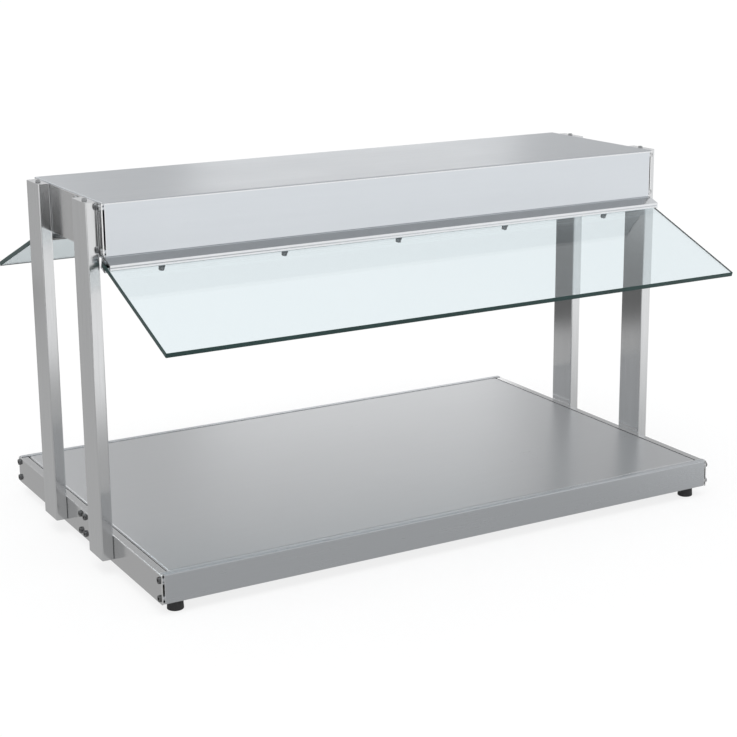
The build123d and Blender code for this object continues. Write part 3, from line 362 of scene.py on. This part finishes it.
def make_brushing():
    """Fine parallel scratches, and a slow cloudiness of the rolled sheet."""
    tree, start, end = new_group(
        "brushing",
        [
            ("Stretch", "NodeSocketVector", ALONG_WIDTH),
            ("Cloud size", "NodeSocketFloat", 7.0),
            ("Light", "NodeSocketColor", (0.8, 0.8, 0.8, 1)),
            ("Dark", "NodeSocketColor", (0.7, 0.7, 0.7, 1)),
            ("Smooth", "NodeSocketFloat", 0.25),
            ("Rough", "NodeSocketFloat", 0.4),
        ],
        [
            ("Color", "NodeSocketColor"),
            ("Roughness", "NodeSocketFloat"),
            ("Height", "NodeSocketFloat"),
        ],
    )
    grain_share, band_stretch = 0.45, 0.13
    place = object_place(tree)
    pulled = vector_math(tree, "MULTIPLY", place, start.outputs["Stretch"])
    scratch = noise(tree, pulled, Scale=1.0, Detail=3.0, Roughness=0.65).outputs["Fac"]
    wide_pull = add(tree, "ShaderNodeVectorMath", operation="SCALE", Scale=band_stretch)
    feed(tree, pulled, wide_pull.inputs[0])
    band = noise(tree, wide_pull.outputs[0], Scale=1.0, Detail=2.0).outputs["Fac"]
    cloud = noise(tree, place, Detail=3.0)
    feed(tree, start.outputs["Cloud size"], cloud.inputs["Scale"])
    slow = number_math(tree, "MULTIPLY", band, cloud.outputs["Fac"])
    grain = spread(tree, scratch, 0.3, 0.7)
    mixed = number_math(tree, "MULTIPLY_ADD", grain, grain_share, slow)
    tone = mix(tree, "RGBA", mixed, start.outputs["Dark"], start.outputs["Light"])
    gloss = mix(tree, "FLOAT", mixed, start.outputs["Rough"], start.outputs["Smooth"])
    feed(tree, tone, end.inputs["Color"])
    feed(tree, gloss, end.inputs["Roughness"])
    feed(tree, scratch, end.inputs["Height"])
    return tree


def make_speckle():
    """Small uneven grain of moulded, cast and fired surfaces, with soft handling marks."""
    tree, start, end = new_group(
        "speckle",
        [
            ("Grain", "NodeSocketFloat", 900.0),
            ("Light", "NodeSocketColor", (0.5, 0.5, 0.5, 1)),
            ("Dark", "NodeSocketColor", (0.4, 0.4, 0.4, 1)),
            ("Smooth", "NodeSocketFloat", 0.4),
            ("Rough", "NodeSocketFloat", 0.6),
        ],
        [
            ("Color", "NodeSocketColor"),
            ("Roughness", "NodeSocketFloat"),
            ("Height", "NodeSocketFloat"),
        ],
    )
    grain_share, marks_share = 0.5, 0.5
    place = object_place(tree)
    fine = noise(tree, place, Detail=2.0)
    feed(tree, start.outputs["Grain"], fine.inputs["Scale"])
    grain = fine.outputs["Fac"]
    marks = spread(tree, noise(tree, place, Scale=28.0, Detail=4.0).outputs["Fac"], 0.35, 0.65)
    handling = number_math(tree, "MULTIPLY", marks, marks_share)
    both = number_math(tree, "MULTIPLY_ADD", grain, grain_share, handling)
    tone = mix(tree, "RGBA", both, start.outputs["Dark"], start.outputs["Light"])
    gloss = mix(tree, "FLOAT", both, start.outputs["Smooth"], start.outputs["Rough"])
    feed(tree, tone, end.inputs["Color"])
    feed(tree, gloss, end.inputs["Roughness"])
    feed(tree, grain, end.inputs["Height"])
    return tree


def make_edge_wear_and_highlight():
    """Mask along the corners of a piece, where its finish is painted bright: worn bare metal and a painted edge
    highlight.
    """
    tree, start, end = new_group(
        "edge_wear_and_highlight_mask", [("Reach", "NodeSocketFloat", EDGE_REACH)], [("Mask", "NodeSocketFloat")]
    )
    rounded = add(tree, "ShaderNodeBevel", samples=6)
    feed(tree, start.outputs["Reach"], rounded.inputs["Radius"])
    facing = add(tree, "ShaderNodeNewGeometry").outputs["Normal"]
    square = vector_math(tree, "DOT_PRODUCT", rounded.outputs["Normal"], facing)
    feed(tree, spread(tree, square, EDGE_START, EDGE_FULL), end.inputs["Mask"])
    return tree


def make_soft_sides():
    """Mask that is full over the middle of a card and fades out at its sides."""
    tree, start, end = new_group(
        "soft_sides",
        [
            ("Half size", "NodeSocketVector", (1, 1, 1)),
            ("Soft width", "NodeSocketVector", (0.2, 0.2, 1)),
        ],
        [("Mask", "NodeSocketFloat")],
    )
    out = vector_math(tree, "ABSOLUTE", object_place(tree))
    room = vector_math(tree, "SUBTRACT", start.outputs["Half size"], out)
    share = vector_math(tree, "DIVIDE", room, start.outputs["Soft width"])
    split = add(tree, "ShaderNodeSeparateXYZ")
    feed(tree, share, split.inputs[0])
    across, along = (spread(tree, split.outputs[axis], 0.0, 1.0, "SMOOTHSTEP") for axis in "XY")
    feed(tree, number_math(tree, "MULTIPLY", across, along), end.inputs["Mask"])
    return tree


BRUSHING = make_brushing()
SPECKLE = make_speckle()
EDGE_WEAR_AND_HIGHLIGHT = make_edge_wear_and_highlight()
SOFT_SIDES = make_soft_sides()


# Finishes


def new_material(name):
    """A material with its shader, ready for its own nodes."""
    material = bpy.data.materials.new(name)
    material.use_nodes = True
    tree = material.node_tree
    return material, tree, tree.nodes["Principled BSDF"]


def place_group(tree, group, values):
    """One of the groups in a material, with values of its own."""
    node = tree.nodes.new("ShaderNodeGroup")
    node.node_tree = group
    for name, value in values.items():
        node.inputs[name].default_value = value
    return node


def surface(name, group, values, bump, bump_depth, wear_highlight_reach=0.0, **shader_values):
    """A material whose colour, gloss and relief come from one of the groups."""
    material, tree, shader = new_material(name)
    finish = place_group(tree, group, values)
    colour = finish.outputs["Color"]
    # Painted highlight: corners lightened towards bare metal, as wear and as the bright line that light puts along
    # an edge.
    if wear_highlight_reach:
        edges = place_group(tree, EDGE_WEAR_AND_HIGHLIGHT, {"Reach": wear_highlight_reach})
        colour = mix(tree, "RGBA", edges.outputs["Mask"], colour, BARE_METAL_HIGHLIGHT)
    relief = add(tree, "ShaderNodeBump", Strength=bump, Distance=bump_depth)
    feed(tree, finish.outputs["Height"], relief.inputs["Height"])
    feed(tree, colour, shader.inputs["Base Color"])
    feed(tree, finish.outputs["Roughness"], shader.inputs["Roughness"])
    feed(tree, relief.outputs["Normal"], shader.inputs["Normal"])
    for socket, value in shader_values.items():
        shader.inputs[socket.replace("_", " ")].default_value = value
    return material


def grey(level, warm):
    """Grey with a little blue, or a little warmth."""
    return (level * (1 + warm), level, level * (1 - warm), 1)


def brushed(name, light, dark, smooth, rough, bump, stretch=ALONG_WIDTH, warm=-0.015, wear_highlight_reach=0.0):
    """Metal brushed along one way."""
    values = {
        "Stretch": stretch,
        "Light": grey(light, warm),
        "Dark": grey(dark, warm),
        "Smooth": smooth,
        "Rough": rough,
    }
    return surface(name, BRUSHING, values, bump, SCRATCH_DEPTH, wear_highlight_reach, Metallic=1.0)


def moulded(name, light, dark, smooth, rough, grain, bump, **shader_values):
    """Rubber, plastic, ceramic, paint and other finishes with a fine speckle."""
    values = {
        "Light": (*light, 1),
        "Dark": (*dark, 1),
        "Smooth": smooth,
        "Rough": rough,
        "Grain": grain,
    }
    return surface(name, SPECKLE, values, bump, GRAIN_DEPTH, **shader_values)


def make_clear_glass():
    """Clear pane with a breath of green, uneven over its width as drawn glass is."""
    material, tree, shader = new_material("clear_pane")
    wave = noise(tree, object_place(tree), Scale=5.0, Detail=1.0).outputs["Fac"]
    feed(tree, mix(tree, "RGBA", wave, *GLASS_TINTS), shader.inputs["Base Color"])
    shader.inputs["Roughness"].default_value = GLASS_ROUGHNESS
    shader.inputs["Transmission Weight"].default_value = 1.0
    shader.inputs["IOR"].default_value = GLASS_IOR
    return material


def dress():
    """Give every node its finish, glaze the guards and mark the controls."""
    finishes = {name: brushed(name, **values) for name, values in METALS.items()}
    finishes |= {name: moulded(name, **values) for name, values in MOULDINGS.items()}
    finishes["clear_pane"] = make_clear_glass()
    for part in frame["record"]["subparts"]:
        finish = SLOT_FINISH[part["material_slot"]]
        for ending, own in OWN_FINISH.items():
            if part["node"].endswith(ending):
                finish = own
        slots = frame["nodes"][part["node"]].data.materials
        slots.clear()
        slots.append(finishes[finish])
    for side in ("front", "rear"):
        glaze(side, finishes["clear_pane"], finishes["ground_glass_edge"])
    for control in ("thermostat", "heat_control"):
        mark_dial(control, finishes["white_paint"], finishes["black_ink"])
    for switch in ("power", "lights"):
        mark_rocker(switch, finishes["white_paint"])


# Glass guards


def glaze(side, clear, ground):
    """A pane in the place of a glass guard: clear over its two faces, ground at its edges."""
    mesh = frame["nodes"][f"{side}_guard_glass"].data.copy()
    mesh.name = f"{side}_guard_pane"
    mesh.materials.clear()
    mesh.materials.append(clear)
    mesh.materials.append(ground)
    low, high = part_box(f"{side}_guard_glass")
    outward = 1 if low[1] + high[1] > 0 else -1
    square = Vector((0, outward * sin(GUARD_ANGLE), cos(GUARD_ANGLE)))
    for face in mesh.polygons:
        face.material_index = 0 if abs(face.normal.dot(square)) > PANE_FACE else 1
    pane = bpy.data.objects.new(mesh.name, mesh)
    scene.collection.objects.link(pane)
    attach(pane, "stand")
    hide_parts(f"{side}_guard_glass")


# Painted marks on the controls


def joint_spot(name):
    """Where a joint sits."""
    return Vector(next(joint["pos_m"] for joint in frame["joints"] if joint["name"] == name))


def raise_plate(shape, outline, place):
    """Add a thin plate to a mesh, set by a matrix whose third axis leaves the surface."""
    low = [shape.verts.new(place @ Vector((x, y, 0))) for x, y in outline]
    high = [shape.verts.new(place @ Vector((x, y, MARK_HEIGHT))) for x, y in outline]
    shape.faces.new(high)
    shape.faces.new(low[::-1])
    for i in range(len(outline)):
        j = (i + 1) % len(outline)
        shape.faces.new((low[i], low[j], high[j], high[i]))


def raise_ring(shape, outer, inner, place):
    """Add a thin ring to a mesh."""
    turns = [tau * i / RING_STEPS for i in range(RING_STEPS)]
    loops = []
    for radius, height in ((outer, 0), (outer, MARK_HEIGHT), (inner, MARK_HEIGHT), (inner, 0)):
        points = [Vector((radius * cos(turn), radius * sin(turn), height)) for turn in turns]
        loops.append([shape.verts.new(place @ point) for point in points])
    for near, far in zip(loops, loops[1:] + loops[:1]):
        for i in range(RING_STEPS):
            j = (i + 1) % RING_STEPS
            shape.faces.new((near[i], near[j], far[j], far[i]))


def add_marks(name, body, shape, paint):
    """Finish a mesh of marks as a piece that rides on a body."""
    mesh = bpy.data.meshes.new(name)
    shape.to_mesh(mesh)
    shape.free()
    mesh.materials.append(paint)
    piece = bpy.data.objects.new(name, mesh)
    scene.collection.objects.link(piece)
    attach(piece, body)


def bar(half_width, start, end, flare=1.0):
    """Outline of an upright bar, which may widen towards its end."""
    wide = half_width * flare
    return [(-half_width, start), (half_width, start), (wide, end), (-wide, end)]


def mark_dial(control, paint, ink):
    """Scale on a knob's skirt, line on its pointer, and the index on the panel above it."""
    spot = Matrix.Translation(joint_spot(f"{control}_turn")) @ REAR_SIDE
    skirt = spot @ Matrix.Translation((0, 0, SKIRT_OUT))
    pointer = spot @ Matrix.Translation((0, 0, POINTER_OUT))
    scale = bmesh.new()
    for step in range(SCALE_STEPS + 1):
        turn = Matrix.Rotation(SCALE_SWEEP * step / SCALE_STEPS, 4, "Z")
        start = SHORT_TICK_START if step % LONG_TICK_EVERY else LONG_TICK_START
        raise_plate(scale, bar(TICK_HALF, start, TICK_END, TICK_FLARE), skirt @ turn)
    raise_plate(scale, bar(POINTER_HALF, POINTER_START, POINTER_END), pointer)
    add_marks(f"{control}_scale", f"{control}_dial", scale, paint)
    index = bmesh.new()
    wedge = [(0, INDEX_TIP), (INDEX_HALF, INDEX_BACK), (-INDEX_HALF, INDEX_BACK)]
    raise_plate(index, wedge, spot)
    add_marks(f"{control}_index", "stand", index, ink)


def mark_rocker(switch, paint):
    """On bar and off ring on a rocker's two halves; when it is off, its top leans out."""
    lean = Matrix.Rotation(ROCKER_LEAN, 4, "X")
    spot = Matrix.Translation(joint_spot(f"{switch}_rocker_tilt")) @ REAR_SIDE @ lean
    marks = bmesh.new()
    slope = atan2(ROCKER_CREST - ROCKER_VALLEY, ROCKER_HALF)
    rise = ROCKER_VALLEY + MARK_UP * (ROCKER_CREST - ROCKER_VALLEY) / ROCKER_HALF
    upper = spot @ Matrix.Translation((0, MARK_UP, rise)) @ Matrix.Rotation(slope, 4, "X")
    lower = spot @ Matrix.Translation((0, -MARK_UP, rise)) @ Matrix.Rotation(-slope, 4, "X")
    raise_plate(marks, bar(ON_BAR_HALF, -MARK_HALF, MARK_HALF), upper)
    raise_ring(marks, MARK_HALF, OFF_RING_INNER, lower)
    add_marks(f"{switch}_rocker_marks", f"{switch}_rocker", marks, paint)


# Studio


def make_floor():
    """Pale floor, white to the eye, that keeps the shadow and is clear from below."""
    mesh = bpy.data.meshes.new("studio_floor")
    shape = bmesh.new()
    bmesh.ops.create_grid(shape, x_segments=1, y_segments=1, size=FLOOR_SIZE / 2)
    shape.to_mesh(mesh)
    shape.free()
    floor = bpy.data.objects.new("studio_floor", mesh)
    scene.collection.objects.link(floor)
    material, tree, shader = new_material("pale_floor")
    paper = noise(tree, object_place(tree), Scale=3.0, Detail=2.0).outputs["Fac"]
    feed(tree, mix(tree, "RGBA", paper, *FLOOR_TONES), shader.inputs["Base Color"])
    shader.inputs["Roughness"].default_value = 0.9
    shader.inputs["Specular IOR Level"].default_value = 0.1
    ray = add(tree, "ShaderNodeLightPath").outputs
    direct = number_math(tree, "MAXIMUM", ray["Is Camera Ray"], ray["Is Glossy Ray"])
    seen = number_math(tree, "MAXIMUM", direct, ray["Is Transmission Ray"])
    white = add(tree, "ShaderNodeEmission", Strength=1.0)
    lit = add(tree, "ShaderNodeMixShader")
    feed(tree, number_math(tree, "MULTIPLY", seen, FLOOR_WHITE), lit.inputs[0])
    feed(tree, shader.outputs[0], lit.inputs[1])
    feed(tree, white.outputs[0], lit.inputs[2])
    side = add(tree, "ShaderNodeNewGeometry")
    clear = add(tree, "ShaderNodeBsdfTransparent")
    one_way = add(tree, "ShaderNodeMixShader")
    feed(tree, side.outputs["Backfacing"], one_way.inputs[0])
    feed(tree, lit.outputs[0], one_way.inputs[1])
    feed(tree, clear.outputs[0], one_way.inputs[2])
    feed(tree, one_way.outputs[0], tree.nodes["Material Output"].inputs["Surface"])
    mesh.materials.append(material)


def set_flag(name, level, middle, half, soft, turn):
    """Flat card, seen only in reflections, which gives the metal its darker tones."""
    shape = bmesh.new()
    wide, deep = half
    corners = [(-wide, -deep), (wide, -deep), (wide, deep), (-wide, deep)]
    shape.faces.new([shape.verts.new((x, y, 0)) for x, y in corners])
    mesh = bpy.data.meshes.new(name)
    shape.to_mesh(mesh)
    shape.free()
    flag = bpy.data.objects.new(name, mesh)
    scene.collection.objects.link(flag)
    flag.location = middle
    flag.rotation_euler = (0, 0, turn)
    material, tree, shader = new_material(f"{name}_card")
    sides = place_group(tree, SOFT_SIDES, {"Half size": (*half, 1), "Soft width": (*soft, 1)})
    feed(tree, sides.outputs["Mask"], shader.inputs["Alpha"])
    shader.inputs["Base Color"].default_value = (0, 0, 0, 1)
    shader.inputs["Specular IOR Level"].default_value = 0.0
    shader.inputs["Emission Color"].default_value = (level, level, level, 1)
    shader.inputs["Emission Strength"].default_value = 1.0
    mesh.materials.append(material)
    flag.visible_camera = False
    flag.visible_diffuse = False
    flag.visible_transmission = False
    flag.visible_shadow = False


def make_world():
    """Studio surround: white at the horizon, grey above it and bright again overhead."""
    world = bpy.data.worlds.new("studio")
    scene.world = world
    world.use_nodes = True
    tree = world.node_tree
    split = add(tree, "ShaderNodeSeparateXYZ")
    feed(tree, add(tree, "ShaderNodeTexCoord").outputs["Generated"], split.inputs[0])
    ramp = add(tree, "ShaderNodeValToRGB")
    stops = ramp.color_ramp.elements
    for height, level in SURROUND[1:-1]:
        stops.new(height)
    for stop, (height, level) in zip(stops, SURROUND):
        stop.position = height
        stop.color = (*(level * share for share in SURROUND_TINT), 1)
    feed(tree, split.outputs["Z"], ramp.inputs["Fac"])
    feed(tree, ramp.outputs["Color"], tree.nodes["Background"].inputs["Color"])


def aim(lamp, spot, target):
    """Stand a lamp at a spot and turn it to its target."""
    scene.collection.objects.link(lamp)
    lamp.location = spot
    lamp.rotation_euler = (Vector(target) - Vector(spot)).to_track_quat("-Z", "Y").to_euler()


def hang_softbox(name, size, power, spot, target):
    """Soft light from a card of the given size, unseen by the camera."""
    light = bpy.data.lights.new(name, "AREA")
    light.shape = "RECTANGLE"
    light.size, light.size_y = size
    light.energy = power
    softbox = bpy.data.objects.new(name, light)
    aim(softbox, spot, target)
    softbox.visible_camera = False


def light_studio():
    """One wide overhead light, and softboxes for the cover's sheen and for bright edges."""
    light = bpy.data.lights.new("overhead_light", "SUN")
    light.energy = OVERHEAD_STRENGTH
    light.angle = OVERHEAD_ANGLE
    overhead = bpy.data.objects.new("overhead_light", light)
    aim(overhead, OVERHEAD_SPOT, (0, 0, 0))
    overhead.visible_glossy = False  # its hard-edged disc would show in the glass
    for softbox in SOFTBOXES:
        hang_softbox(*softbox)


place_camera()
dress()
make_floor()
for flag in FLAGS:
    set_flag(*flag)
make_world()
light_studio()
scene.view_settings.view_transform = "Standard"
